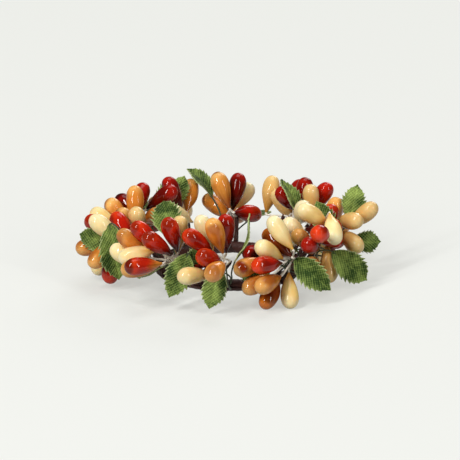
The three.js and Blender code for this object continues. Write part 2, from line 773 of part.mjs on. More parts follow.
for (const spray of SPRAYS) {
  Object.keys(spray.pips).forEach((colour, index) => {
    const name = `spray_${spray.name}_${colour}_pips`;
    let solid = toSolid(bunchShank(spray, index, knotOf(spray, index)));
    for (const pip of pips.filter((each) => each.node === name)) solid = solid.add(pipSolid(pip));
    ring.add(named(name, toGeometry(solid), COLOURS[colour], 0.25, 0));
  });
}
for (const leaf of leaves) ring.add(named(leaf.node, leafGeometry(leaf), leaf.colour, 0.85, 0));

// The origin lies under the middle of the ring, at the level it stands on
const bounds = new THREE.Box3().setFromObject(ring, true);
const middle = bounds.getCenter(new THREE.Vector3());
for (const mesh of ring.children) mesh.position.set(-middle.x, -middle.y, -bounds.min.z);

export default ring;
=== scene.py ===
"""Looks of the berry and leaf ring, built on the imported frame. Every piece is in metres."""
import logging
import math
from collections.abc import Callable
from dataclasses import dataclass, field
from enum import Enum
from functools import partial

import bmesh
import bpy
import numpy as np
from bpy.types import Material, Mesh, Node, NodeSocket, NodeTree, Object
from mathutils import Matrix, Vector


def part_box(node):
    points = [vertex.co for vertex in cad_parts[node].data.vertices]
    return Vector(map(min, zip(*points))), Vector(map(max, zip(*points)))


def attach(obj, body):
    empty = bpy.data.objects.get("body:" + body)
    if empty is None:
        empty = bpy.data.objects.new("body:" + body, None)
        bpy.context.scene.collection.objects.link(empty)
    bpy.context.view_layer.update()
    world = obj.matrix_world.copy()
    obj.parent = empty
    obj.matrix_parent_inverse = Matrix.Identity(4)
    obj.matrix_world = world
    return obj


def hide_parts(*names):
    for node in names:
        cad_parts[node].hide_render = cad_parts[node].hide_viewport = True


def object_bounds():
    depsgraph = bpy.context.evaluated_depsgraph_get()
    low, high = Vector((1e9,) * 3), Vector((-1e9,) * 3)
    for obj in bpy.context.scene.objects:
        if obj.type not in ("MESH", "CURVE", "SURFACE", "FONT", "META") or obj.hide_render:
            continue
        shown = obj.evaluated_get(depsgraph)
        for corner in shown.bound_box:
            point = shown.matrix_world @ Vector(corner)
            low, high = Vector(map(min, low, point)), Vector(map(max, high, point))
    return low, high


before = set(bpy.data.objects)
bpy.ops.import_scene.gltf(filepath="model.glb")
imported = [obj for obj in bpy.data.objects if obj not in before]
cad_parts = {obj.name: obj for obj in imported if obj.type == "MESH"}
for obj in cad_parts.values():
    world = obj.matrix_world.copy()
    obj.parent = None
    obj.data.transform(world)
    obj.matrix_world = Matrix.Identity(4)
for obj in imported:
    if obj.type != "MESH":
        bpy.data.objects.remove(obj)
CAD_BOX = [list(corner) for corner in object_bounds()]

LOG = logging.getLogger("berry_ring")
MM = 0.001
BODY = "root"
TAU = 2.0 * math.pi
MAP = "cloth"
Array = np.ndarray
AddNode = Callable[..., Node]


# Small helpers

def linear(hex_colour: str) -> tuple[float, float, float, float]:
    """Turns an sRGB hex colour, such as "#a0522d", into linear red, green and blue, and an alpha of 1."""
    parts = (int(hex_colour[k:k + 2], 16) / 255.0 for k in (1, 3, 5))
    return *(c / 12.92 if c <= 0.04045 else ((c + 0.055) / 1.055) ** 2.4 for c in parts), 1.0


def unit(vectors: Array) -> Array:
    """Scales vectors, whose last axis holds x, y and z, to a length of one."""
    return vectors / np.maximum(np.linalg.norm(vectors, axis=-1, keepdims=True), 1e-12)


def ease(value: Array, start: float = 0.0, span: float = 1.0) -> Array:
    """A soft step, 3t^2 - 2t^3 of the share t of the span: 0 up to the start, 1 beyond the span."""
    t = np.clip((value - start) / span, 0.0, 1.0)
    return t * t * (3.0 - 2.0 * t)


def angles(count: int) -> Array:
    """Angles evenly round a circle, from 0."""
    return np.linspace(0.0, TAU, count, endpoint=False)


def circle(angle: Array, side: Array, across: Array) -> Array:
    """The unit vectors side cos(a) + across sin(a): a ring of them for each pair of axes."""
    return np.cos(angle)[:, None] * side[..., None, :] + np.sin(angle)[:, None] * across[..., None, :]


def run_along(path: Array) -> Array:
    """The distance along a path at each of its points."""
    return np.concatenate([[0.0], np.cumsum(np.linalg.norm(np.diff(path, axis=0), axis=1))])


def square_to(direction: Array) -> Array:
    """A unit vector square to a direction."""
    steep = abs(direction[2]) > math.hypot(direction[0], direction[1])
    return unit(np.cross([1.0, 0.0, 0.0] if steep else [0.0, 0.0, 1.0], direction))


def with_ends(grid: Array) -> Array:
    """A grid's entries in one list, then the mean of its first row and that of its last."""
    return np.concatenate([grid.reshape(-1, 3), grid[[0, -1]].mean(axis=1)])


def add_node(tree: NodeTree, kind: str, inputs: dict | None = None, **settings) -> Node:
    """Adds a shader node with its settings, values and links.

    Args:
        tree: the node tree.
        kind: the node's type name after "ShaderNode".
        inputs: socket name or index to a value, an output, or a node, for its first output.
        **settings: the node's own attributes.

    Returns:
        The new node.
    """
    node = tree.nodes.new("ShaderNode" + kind)
    for name, value in settings.items():
        setattr(node, name, value)
    for key, value in (inputs or {}).items():
        source = value.outputs[0] if isinstance(value, Node) else value
        if isinstance(source, NodeSocket):
            tree.links.new(source, node.inputs[key])
        else:
            node.inputs[key].default_value = source
    return node


def add_map(mesh: Mesh, across: str, along: str) -> None:
    """Gives a mesh its map from two numbers kept for each point. Where the first is the turn round a
    tube, corners of the face that closes the ring count the last turn as a whole one.

    Args:
        mesh: the mesh.
        across: the name of the number for u.
        along: the same for v.
    """
    corners = np.zeros(len(mesh.loops), np.int32)
    mesh.loops.foreach_get("vertex_index", corners)
    parts = []
    for key in (across, along):
        values = np.zeros(len(mesh.vertices), np.float32)
        mesh.attributes[key].data.foreach_get("value", values)
        parts.append(values[corners])
    u, v = parts
    if across == "turn":
        starts = np.zeros(len(mesh.polygons), np.int32)
        mesh.polygons.foreach_get("loop_start", starts)
        face = np.repeat(np.arange(len(starts)), np.diff(starts, append=len(corners)))
        highest = np.maximum.reduceat(u, starts)[face]
        u = np.where((highest > 0.8) & (u < 0.2), u + 1.0, u)
    layer = mesh.uv_layers.new(name=MAP)
    layer.data.foreach_set("uv", np.stack([u, v], axis=1).astype(np.float32).reshape(-1))


@dataclass
class Surface:
    """Grids of points gathered into one mesh, with numbers kept for each point."""

    points: list[Array] = field(default_factory=list)
    quads: list[Array] = field(default_factory=list)
    values: dict[str, list[Array]] = field(default_factory=dict)
    colours: list[Array] = field(default_factory=list)
    count: int = 0

    def add_grid(self, grid: Array, closed: bool = True, colours: Array | None = None,
                 **values: Array) -> None:
        """Adds a grid of points. Row i, column j is joined to row i+1, column j+1.

        Args:
            grid: array of rows by columns by 3.
            closed: whether the last column joins the first, and the end rows their middle points.
            colours: linear colours, as rows by columns by 3.
            **values: a number for each point, as rows by columns, by one or by one number.
        """
        rows, columns = grid.shape[:2]
        index = self.count + np.arange(rows * columns).reshape(rows, columns)
        here, after = (index, np.roll(index, -1, axis=1)) if closed else (index[:, :-1], index[:, 1:])
        self.quads.append(np.stack([here[:-1], after[:-1], after[1:], here[1:]], axis=-1).reshape(-1, 4))
        if closed:
            first = np.full(columns, self.count + rows * columns)
            self.quads.append(np.stack([after[0], index[0], first], axis=-1))
            self.quads.append(np.stack([index[-1], after[-1], first + 1], axis=-1))
        self.points.append(with_ends(grid) if closed else grid.reshape(-1, 3))
        if colours is not None:
            self.colours.append(with_ends(colours))
        for name, value in values.items():
            full = np.broadcast_to(value, (rows, columns)).reshape(-1)
            self.values.setdefault(name, []).append(np.append(full, full[[0, -1] if closed else []]))
        self.count += len(self.points[-1])

    def add_tube(self, path: Array, radii: Array, sides: int, heading: Array, **values: Array) -> None:
        """Adds a round tube with closed ends: a circle carried along a path.

        Args:
            path: its middle line.
            radii: its radii, as a column or as path points by sides.
            sides: points round it.
            heading: the direction that it sets out in.
            **values: further numbers for each point.
        """
        angle = angles(sides)
        grid = path[:, None] + radii[..., None] * circle(angle, *carry(path, square_to(unit(heading))))
        self.add_grid(grid, run=run_along(path)[:, None], turn=angle / TAU, **values)

    def to_object(self, name: str, material: Material, across: str = "", along: str = "") -> Object:
        """Makes the mesh and its object.

        Args:
            name: the object's name.
            material: its finish.
            across: the number for its map's u, where it has a map.
            along: the number for its map's v.

        Returns:
            The new object, at the origin, with smooth faces.
        """
        mesh = bpy.data.meshes.new(name)
        corners = [face for block in self.quads for face in block.tolist()]
        mesh.from_pydata(np.concatenate(self.points).tolist(), [], corners)
        mesh.polygons.foreach_set("use_smooth", np.ones(len(mesh.polygons), bool))
        for key, blocks in self.values.items():
            attribute = mesh.attributes.new(key, "FLOAT", "POINT")
            attribute.data.foreach_set("value", np.concatenate(blocks).astype(np.float32))
        if self.colours:
            colours = np.insert(np.concatenate(self.colours), 3, 1.0, axis=1)
            attribute = mesh.color_attributes.new("dye", "FLOAT_COLOR", "POINT")
            attribute.data.foreach_set("color", colours.astype(np.float32).reshape(-1))
        mesh.materials.append(material)
        mesh.update()
        if across:
            add_map(mesh, across, along)
        thing = bpy.data.objects.new(name, mesh)
        bpy.context.scene.collection.objects.link(thing)
        return thing


def carry(path: Array, first_side: Array) -> tuple[Array, Array]:
    """Carries a frame along a path without twist: each side vector is the one before it, made
    square to the new direction.

    Args:
        path: points along the path.
        first_side: a vector not along the first stretch.

    Returns:
        Unit arrays: to the path's side, and across both.
    """
    along = unit(np.gradient(path, axis=0))
    sides = np.empty_like(along)
    side = first_side
    for k, direction in enumerate(along):
        side = unit(side - direction * np.dot(side, direction))
        sides[k] = side
    return sides, np.cross(along, sides)


def hermite(t: Array, start: Array, leave: Array, end: Array, arrive: Array) -> Array:
    """A cubic Hermite piece: (2t^3-3t^2+1)p0 + (t^3-2t^2+t)m0 + (3t^2-2t^3)p1 + (t^3-t^2)m1."""
    return ((2 * t ** 3 - 3 * t ** 2 + 1) * start + (t ** 3 - 2 * t ** 2 + t) * leave
            + (3 * t ** 2 - 2 * t ** 3) * end + (t ** 3 - t ** 2) * arrive)


def route(points: list[Array], headings: list[Array], steps: int) -> Array:
    """A smooth path in Hermite pieces, whose slopes are the headings times the piece's own length,
    so that a short piece makes no loop.

    Args:
        points: the points to pass through.
        headings: the direction of travel at each point.
        steps: points for each piece.

    Returns:
        The points of the whole path.
    """
    t = np.linspace(0.0, 1.0, steps, endpoint=False)[:, None]
    pieces = []
    for p0, p1, h0, h1 in zip(points, points[1:], headings, headings[1:]):
        reach = float(np.linalg.norm(p1 - p0))
        pieces.append(hermite(t, p0, unit(h0) * reach, p1, unit(h1) * reach))
    return np.concatenate([*pieces, np.array(points[-1])[None]])


def cut_corners(points: list[Array], rounds: int) -> Array:
    """Rounds the corners of a path: each round replaces every leg by the points at one and at three
    quarters of it. The ends stay, and the path turns no more than before.

    Args:
        points: the corners.
        rounds: how often.

    Returns:
        The points of the rounded path.
    """
    path = np.array(points)
    for _ in range(rounds):
        legs = np.stack([0.75 * path[:-1] + 0.25 * path[1:], 0.25 * path[:-1] + 0.75 * path[1:]], axis=1)
        path = np.concatenate([path[:1], legs.reshape(-1, 3), path[-1:]])
    return path


def headings_through(points: list[Array]) -> list[Array]:
    """The heading at each point of a path: the mean of the unit vectors of the legs on both sides."""
    legs = [unit(after - before) for before, after in zip(points, points[1:])]
    return [legs[0], *(unit(before + after) for before, after in zip(legs, legs[1:])), legs[-1]]


def read_outline(at: Array, outline: tuple[tuple[float, float], ...]) -> Array:
    """Interpolates an outline smoothly and without overshoot: Hermite pieces whose slopes are the
    harmonic mean of those on both sides. At the tip the slope is steeper, to round it.

    Args:
        at: the places to read the outline at.
        outline: pairs of place and size, the places rising.

    Returns:
        The sizes.
    """
    places, sizes = np.array(outline).T
    steps = np.diff(places)
    grades = np.diff(sizes) / steps
    before, after = grades[:-1], grades[1:]
    both = after * before > 0
    slopes = np.zeros(len(places))
    slopes[1:-1][both] = 2 * after[both] * before[both] / (after[both] + before[both])
    slopes[0], slopes[-1] = grades[0] * 1.6, grades[-1]
    k = np.clip(np.searchsorted(places, at, side="right") - 1, 0, len(places) - 2)
    t, step = (at - places[k]) / steps[k], steps[k]
    return np.maximum(hermite(t, sizes[k], step * slopes[k], sizes[k + 1], step * slopes[k + 1]), 0.0)


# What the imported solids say

class SolidWalk:
    """The merged points of one CAD node, walked ring by ring from a chosen start."""

    MERGE = 4e-6
    EVEN = 0.02

    def __init__(self, node: str) -> None:
        """Merges a copy of the mesh of the CAD node with that name."""
        self.mesh = bmesh.new()
        self.mesh.from_mesh(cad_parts[node].data)
        bmesh.ops.remove_doubles(self.mesh, verts=self.mesh.verts, dist=self.MERGE)

    def rings(self, start: list[bmesh.types.BMVert], count: int) -> list[Array]:
        """Walks outward from some vertices.

        Args:
            start: the vertices.
            count: how many rings to give at most.

        Returns:
            The points of each ring, without the start.
        """
        seen, ring, found = set(start), start, []
        for _ in range(count):
            ring = {edge.other_vert(vertex) for vertex in ring for edge in vertex.link_edges} - seen
            if not ring:
                break
            seen |= ring
            ring = sorted(ring, key=lambda vertex: vertex.index)
            found.append(np.array([vertex.co for vertex in ring]))
        return found

    def poles(self, degree: int) -> list[bmesh.types.BMVert]:
        """The vertices with a number of equally near neighbours, in order of place."""
        reach = {vertex: [edge.calc_length() for edge in vertex.link_edges] for vertex in self.mesh.verts}
        found = [v for v, r in reach.items() if len(r) == degree and max(r) - min(r) < self.EVEN * max(r)]
        return sorted(found, key=lambda vertex: tuple(round(c, 6) for c in vertex.co))


@dataclass
class Pip:
    """One lacquered pip as the CAD has it."""

    tip: Array
    axis: Array
    length: float


@dataclass
class Shank:
    """Where the shank of a bunch runs: the knot, where it leaves the tape, and a point under it."""

    knot: Array
    leaving: Array
    under: Array

    def __post_init__(self) -> None:
        """Keeps the direction from the knot to the tape."""
        self.down = unit(self.leaving - self.knot)

    def line(self, start: Array, steps: int) -> Array:
        """The shank's middle line from a start near the knot, with some steps to each piece."""
        bent = self.under - self.leaving
        headings = [self.down, unit(self.down + unit(bent)), bent]
        return route([start, self.leaving, self.under], headings, steps)


@dataclass
class HoopSizes:
    """Sizes of the hoop and tape, as in the CAD."""

    centre: Array
    radius: float
    tape: float


def hoop_sizes() -> HoopSizes:
    """Reads the hoop's middle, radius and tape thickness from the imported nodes, in metres."""
    low, high = (np.array(corner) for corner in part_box("hoop_wire"))
    tape_low, tape_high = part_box("tape_wrap")
    wire = (high[2] - low[2]) / math.sqrt(3)
    return HoopSizes((low + high) / 2, (high[0] - low[0]) / 2 - wire, (tape_high[2] - tape_low[2]) / 2)


# Finishes

class Tone(Enum):
    """The dye of a pip, from its tip through its body to its neck, then the colour of a darker patch on its
    outer side, which is painted dark reflection and shade, and how strong that patch is."""

    RED = ("#dc3a12", "#b81c07", "#540703", "#520702", 0.62)
    RED_TO_AMBER = ("#d43e12", "#ae1d06", "#c67e30", "#480602", 0.85)
    CRIMSON = ("#b21e0c", "#921005", "#460602", "#420401", 0.55)
    DEEP_RED = ("#a0180a", "#620802", "#2a0301", "#1c0100", 0.85)
    AMBER = ("#ecac5c", "#d98430", "#ba6a20", "#943f0a", 0.7)
    # Amber drawn in shade: a darker neck, and the strongest painted dark reflection and shade on its outer
    # side
    BURNT_AMBER = ("#eeb668", "#da8c3a", "#964c14", "#762203", 1.0)
    AMBER_TO_RED = ("#dc984a", "#be7028", "#560c05", "#6a1c06", 0.95)
    BROWN = ("#c26a1c", "#823208", "#561a06", "#461203", 0.7)
    TAN = ("#ecc884", "#dfb168", "#bc853a", "#cb9448", 0.5)
    CREAM = ("#fdecba", "#fae0a0", "#e6b052", "#f2cc7e", 0.25)
    CREAM_TO_AMBER = ("#fbe6ac", "#f5d284", "#d69236", "#e4ae56", 0.35)


# The tones of a bunch's pips from left to right, where they aren't all the plain one of the family
TONES = {
    "a_amber": "AMBER AMBER TAN", "a_red": "RED_TO_AMBER RED RED RED",
    "b_cream": "CREAM_TO_AMBER CREAM", "b_red": "DEEP_RED RED RED CRIMSON",
    "c_amber": "BURNT_AMBER AMBER AMBER BROWN BROWN", "c_red": "DEEP_RED RED",
    "c_cream": "CREAM_TO_AMBER CREAM CREAM_TO_AMBER CREAM", "d_cream": "CREAM CREAM_TO_AMBER TAN CREAM",
    "d_red": "DEEP_RED RED RED CRIMSON CRIMSON", "e_amber": "AMBER AMBER BURNT_AMBER",
    "e_cream": "CREAM TAN TAN TAN", "e_red": "CRIMSON RED", "f_amber": "TAN TAN AMBER",
    "f_cream": "CREAM CREAM TAN", "f_red": "DEEP_RED CRIMSON CRIMSON CRIMSON",
    "g_cream": "CREAM_TO_AMBER CREAM CREAM_TO_AMBER", "h_cream": "CREAM TAN",
    "h_amber": "BURNT_AMBER BURNT_AMBER AMBER AMBER_TO_RED", "h_red": "DEEP_RED RED CRIMSON DEEP_RED",
    "i_cream": "CREAM_TO_AMBER CREAM CREAM", "i_red": "RED DEEP_RED CRIMSON",
    "j_amber": "AMBER BURNT_AMBER AMBER", "j_red": "RED DEEP_RED RED",
}


@dataclass(frozen=True)
class LeafLightAndFold:
    """How one leaf differs from the rest: how pale it is drawn, from 0 for deep green to 1, which is partly
    painted light and shade and partly a paler dye of its own, and how far its halves are folded up."""

    fade: float
    fold: float = 0.12


# The leaves that the photograph shows clearly, judged
# How pale each leaf is drawn is partly painted light and shade, partly a paler dye of its own
LEAF_LIGHT_AND_FOLD = {
    "spray_a_leaf_1": LeafLightAndFold(0.6), "spray_a_leaf_2": LeafLightAndFold(0.6), "spray_b_leaf_1": LeafLightAndFold(0.35, 0.2),
    "spray_b_leaf_2": LeafLightAndFold(0.1, 0.2), "spray_b_leaf_3": LeafLightAndFold(0.3), "spray_c_leaf_1": LeafLightAndFold(0.0, 0.34),
    "spray_c_leaf_2": LeafLightAndFold(0.1), "spray_c_leaf_3": LeafLightAndFold(0.05, 0.2), "spray_d_leaf_1": LeafLightAndFold(0.3),
    "spray_d_leaf_2": LeafLightAndFold(0.75), "spray_e_leaf_1": LeafLightAndFold(0.7), "spray_e_leaf_2": LeafLightAndFold(0.15),
    "spray_f_leaf_1": LeafLightAndFold(0.15, 0.2), "spray_g_leaf_1": LeafLightAndFold(0.5), "spray_g_leaf_2": LeafLightAndFold(0.5),
    "spray_h_leaf_1": LeafLightAndFold(0.55),
}


@dataclass(frozen=True)
class Finish:
    """The finish of a real material, by whose name it goes. Scales are in features for each mm."""

    name: str

    def build(self) -> Material:
        """Makes the material: an empty tree, then the finish's own shader at the output."""
        material = bpy.data.materials.new(self.name)
        material.use_nodes = True
        material.node_tree.nodes.clear()
        add = partial(add_node, material.node_tree)
        add("OutputMaterial", {0: self.shader(add)})
        return material

    def shader(self, add: AddNode) -> Node:
        """Adds the finish's nodes and gives the last of them, the shader."""
        raise NotImplementedError


def add_ridge(add: AddNode, phase: Node) -> Node:
    """Adds a ridge that rises once in each turn of a phase: 0.5 + 0.5 sin(phase)."""
    wave = add("Math", {0: phase}, operation="SINE")
    return add("Math", {0: wave, 1: 0.5, 2: 0.5}, operation="MULTIPLY_ADD")


@dataclass(frozen=True)
class Lacquer(Finish):
    """Clear gloss lacquer dipped over a dyed foam pip: a deep colour under a wet, sharp gloss. The
    dye has clouds of about 2 mm and specks of 0.3 mm, and the coat has dips of about 1.4 mm."""

    slot: str
    glow: float
    coat: float
    blur: float
    cloud: float
    clouds_per_mm: float = 0.45
    specks_per_mm: float = 3.2
    dips_per_mm: float = 0.7
    dip: float = 0.25 * MM

    def shader(self, add: AddNode) -> Node:
        """Adds the dye of the piece, clouded and specked, under a clear coat with dips."""
        # Each point's colour: the dye, with the painted dark reflection and shade of the pip
        dye = add("Attribute", attribute_name="dye")
        place = add("TexCoord").outputs["Object"]
        cloud = add("TexNoise", {"Vector": place, "Scale": self.clouds_per_mm / MM, "Detail": 3.0,
                                 "Roughness": 0.55})
        speck = add("TexNoise", {"Vector": place, "Scale": self.specks_per_mm / MM, "Detail": 2.0})
        both = add("Math", {0: speck, 1: 0.3, 2: cloud}, operation="MULTIPLY_ADD")
        level = add("MapRange", {0: both, 1: 0.35, 2: 0.95, 3: 1.0 - self.cloud, 4: 1.0 + self.cloud})
        toned = add("HueSaturation", {"Color": dye, "Value": level})
        dips = add("TexNoise", {"Vector": place, "Scale": self.dips_per_mm / MM, "Detail": 1.5})
        bump = add("Bump", {"Height": dips, "Strength": 0.22, "Distance": self.dip})
        return add("BsdfPrincipled", {
            "Base Color": toned, "Roughness": 0.6, "IOR": 1.5, "Specular IOR Level": 0.0,
            "Coat Weight": self.coat, "Coat Roughness": self.blur, "Coat IOR": 1.5,
            "Subsurface Weight": self.glow, "Subsurface Scale": 1.0 * MM,
            "Normal": bump, "Coat Normal": bump})


@dataclass(frozen=True)
class LeafCloth(Finish):
    """Plain woven cloth, dyed green and stiffened: crossing threads that catch the light, pale at
    the cut edge and the veins. Real threads lie closer than a pixel of the render, too fine to show,
    so the weave is drawn as coarse as it needs to show."""

    slot: str
    dark: str
    light: str
    fray: str
    thread: float
    uneven: float = 0.3 * MM
    slant: float = 38.0
    slubs_per_mm: float = 1.1
    clouds_per_mm: float = 0.28
    warp_share: float = 0.7
    weft_share: float = 0.3
    contrast: float = 0.44
    relief: float = 0.12 * MM

    def shader(self, add: AddNode) -> Node:
        """Adds two sets of ridges across the map, slanted and made uneven by slubs, and mixes the greens by
        the weave, by clouds in the dye, by the veins, and by the leaf's paleness, which is partly painted
        light and shade and partly a paler dye of its own."""
        place = add("UVMap", uv_map=MAP)
        turned = add("Mapping", {"Vector": place, "Rotation": (0.0, 0.0, math.radians(self.slant))})
        split = add("SeparateXYZ", {0: turned})
        solid = add("TexCoord").outputs["Object"]
        slub = add("TexNoise", {"Vector": solid, "Scale": self.slubs_per_mm / MM, "Detail": 2.0})
        ridges = []
        for place in split.outputs[:2]:
            uneven = add("Math", {0: slub, 1: self.uneven, 2: place}, operation="MULTIPLY_ADD")
            ridges.append(add_ridge(add, add("Math", {0: uneven, 1: TAU / self.thread},
                                             operation="MULTIPLY")))
        weft = add("Math", {0: ridges[1], 1: self.weft_share}, operation="MULTIPLY")
        weave = add("Math", {0: ridges[0], 1: self.warp_share, 2: weft}, operation="MULTIPLY_ADD")
        dye = add("TexNoise", {"Vector": solid, "Scale": self.clouds_per_mm / MM, "Detail": 4.0})
        vein, edge, pale = (add("Attribute", attribute_name=name).outputs["Fac"]
                            for name in ("vein", "edge", "pale"))
        cloud = add("MapRange", {0: dye, 1: 0.32, 2: 0.68, 3: -0.48, 4: 0.34})
        fleck = add("Math", {0: weave, 1: self.contrast, 2: cloud}, operation="MULTIPLY_ADD")
        # The leaf's paleness: partly painted light and shade, partly a paler dye of its own
        light_and_paleness = add("Math", {0: pale, 1: 0.62, 2: fleck}, operation="MULTIPLY_ADD")
        lit = add("Math", {0: vein, 1: 0.2, 2: light_and_paleness}, operation="MULTIPLY_ADD", use_clamp=True)
        body = add("Mix", {"Factor": lit, 6: linear(self.dark), 7: linear(self.light)}, data_type="RGBA")
        rim = add("Mix", {"Factor": edge, 6: body.outputs[2], 7: linear(self.fray)}, data_type="RGBA")
        height = add("Math", {0: vein, 1: 0.9, 2: weave}, operation="MULTIPLY_ADD")
        bump = add("Bump", {"Height": height, "Strength": 0.8, "Distance": self.relief})
        return add("BsdfPrincipled", {
            "Base Color": rim.outputs[2], "Roughness": 0.68, "Specular IOR Level": 0.22,
            "Sheen Weight": 0.03, "Sheen Roughness": 0.4, "Normal": bump})


@dataclass(frozen=True)
class ThreadWrap(Finish):
    """Cotton thread wound tightly over stem wire: matt, with a slanting ridge to each turn, and painted
    shade in the darker groove between turns. Its turns are drawn as coarse as they need to show, as real
    ones are too fine."""

    ridge: str
    groove: str
    pitch: float
    relief: float = 0.03 * MM

    def shader(self, add: AddNode) -> Node:
        """Adds the turns, which follow the stem's own map, u round it and v along it in metres."""
        split = add("SeparateXYZ", {0: add("UVMap", uv_map=MAP)})
        along = add("Math", {0: split.outputs[1], 1: TAU / self.pitch}, operation="MULTIPLY")
        turn = add("Math", {0: split.outputs[0], 1: TAU, 2: along}, operation="MULTIPLY_ADD")
        ridge = add_ridge(add, turn)
        # The groove colour is painted shade between the turns
        colour = add("Mix", {"Factor": ridge, 6: linear(self.groove), 7: linear(self.ridge)},
                     data_type="RGBA")
        bump = add("Bump", {"Height": ridge, "Strength": 0.5, "Distance": self.relief})
        return add("BsdfPrincipled", {"Base Color": colour.outputs[2], "Roughness": 0.6,
                                      "Sheen Weight": 0.2, "Normal": bump})


@dataclass(frozen=True)
class FloralTape(Finish):
    """Waxed crepe paper tape, stretched as it is wound: dull, with creases of about 0.3 mm across
    it, and paler towards the outer edge of each turn."""

    slot: str
    dark: str
    light: str
    creases_per_mm: float = 0.55
    stretch: float = 6.0
    relief: float = 0.12 * MM

    def shader(self, add: AddNode) -> Node:
        """Adds the creases, as noise drawn out across the map, and tones them by the lap."""
        place = add("UVMap", uv_map=MAP)
        drawn = add("Mapping", {"Vector": place, "Scale": (1.0, self.stretch, 1.0)})
        crepe = add("TexNoise", {"Vector": drawn, "Scale": self.creases_per_mm / MM, "Detail": 5.0,
                                 "Roughness": 0.6})
        lap = add("Attribute", attribute_name="lap").outputs["Fac"]
        tone = add("Math", {0: lap, 1: 0.5, 2: crepe}, operation="MULTIPLY_ADD", use_clamp=True)
        ramp = add("ValToRGB", {"Fac": tone})
        stops = ((0.3, self.dark), (0.95, self.light))
        for element, (position, colour) in zip(ramp.color_ramp.elements, stops):
            element.position, element.color = position, linear(colour)
        bump = add("Bump", {"Height": crepe, "Strength": 0.9, "Distance": self.relief})
        return add("BsdfPrincipled", {"Base Color": ramp, "Roughness": 0.52, "Specular IOR Level": 0.3,
                                      "Normal": bump})


@dataclass(frozen=True)
class StemSteel(Finish):
    """Drawn florist wire: plain grey steel, faintly rough, with a grain of about 0.3 mm."""

    colour: str
    grains_per_mm: float = 3.0
    relief: float = 0.02 * MM

    def shader(self, add: AddNode) -> Node:
        """Adds bare metal with the grain as a low bump."""
        place = add("TexCoord").outputs["Object"]
        grain = add("TexNoise", {"Vector": place, "Scale": self.grains_per_mm / MM, "Detail": 2.0})
        bump = add("Bump", {"Height": grain, "Strength": 0.2, "Distance": self.relief})
        return add("BsdfPrincipled", {"Base Color": linear(self.colour), "Metallic": 1.0,
                                      "Roughness": 0.38, "Normal": bump})


@dataclass(frozen=True)
class Sweep(Finish):
    """Matt pale paper under the ring, which the camera and the gloss see glow a little, so that it is
    as bright as the ground in the photograph."""

    seen: str
    paper: str
    glow: float

    def shader(self, add: AddNode) -> Node:
        """Adds plain paper and a glow that only camera, glossy and transmitted rays see."""
        rays = add("LightPath").outputs
        sight = add("Math", {0: rays["Is Camera Ray"], 1: rays["Is Glossy Ray"]}, operation="ADD")
        sight = add("Math", {0: sight, 1: rays["Is Transmission Ray"]}, operation="ADD", use_clamp=True)
        glow = add("Math", {0: sight, 1: self.glow}, operation="MULTIPLY")
        shine = add("Emission", {"Color": linear(self.seen), "Strength": glow})
        return add("AddShader", {0: shine, 1: add("BsdfDiffuse", {"Color": linear(self.paper)})})


LACQUERS = {
    "red": Lacquer("gloss_lacquer_red", "red_lacquer", 0.0, 0.65, 0.07, 0.24),
    "amber": Lacquer("gloss_lacquer_amber", "amber_lacquer", 0.06, 0.7, 0.08, 0.16),
    "cream": Lacquer("gloss_lacquer_cream", "cream_lacquer", 0.12, 0.7, 0.14, 0.06),
}
CLOTH = LeafCloth("woven_leaf_cloth", "leaf_cloth", "#243e0d", "#a2b85c", "#bcc78c", 0.55 * MM)
# The second colour of each thread is painted shade in its grooves
THREAD = ThreadWrap("cotton_stem_thread", "#faf5ea", "#ece2cb", 0.35 * MM)
STALK_THREAD = ThreadWrap("green_stem_thread", "#3c4d22", "#1f2f12", 0.35 * MM)
TAPE = FloralTape("waxed_floral_tape", "floral_tape", "#1c0c08", "#48221a")
STEEL = StemSteel("drawn_steel_wire", "#8a8d90")
FLOOR = Sweep("pale_floor", "#fbfcf6", "#a4a5a2", 0.5)


# Sub-assemblies

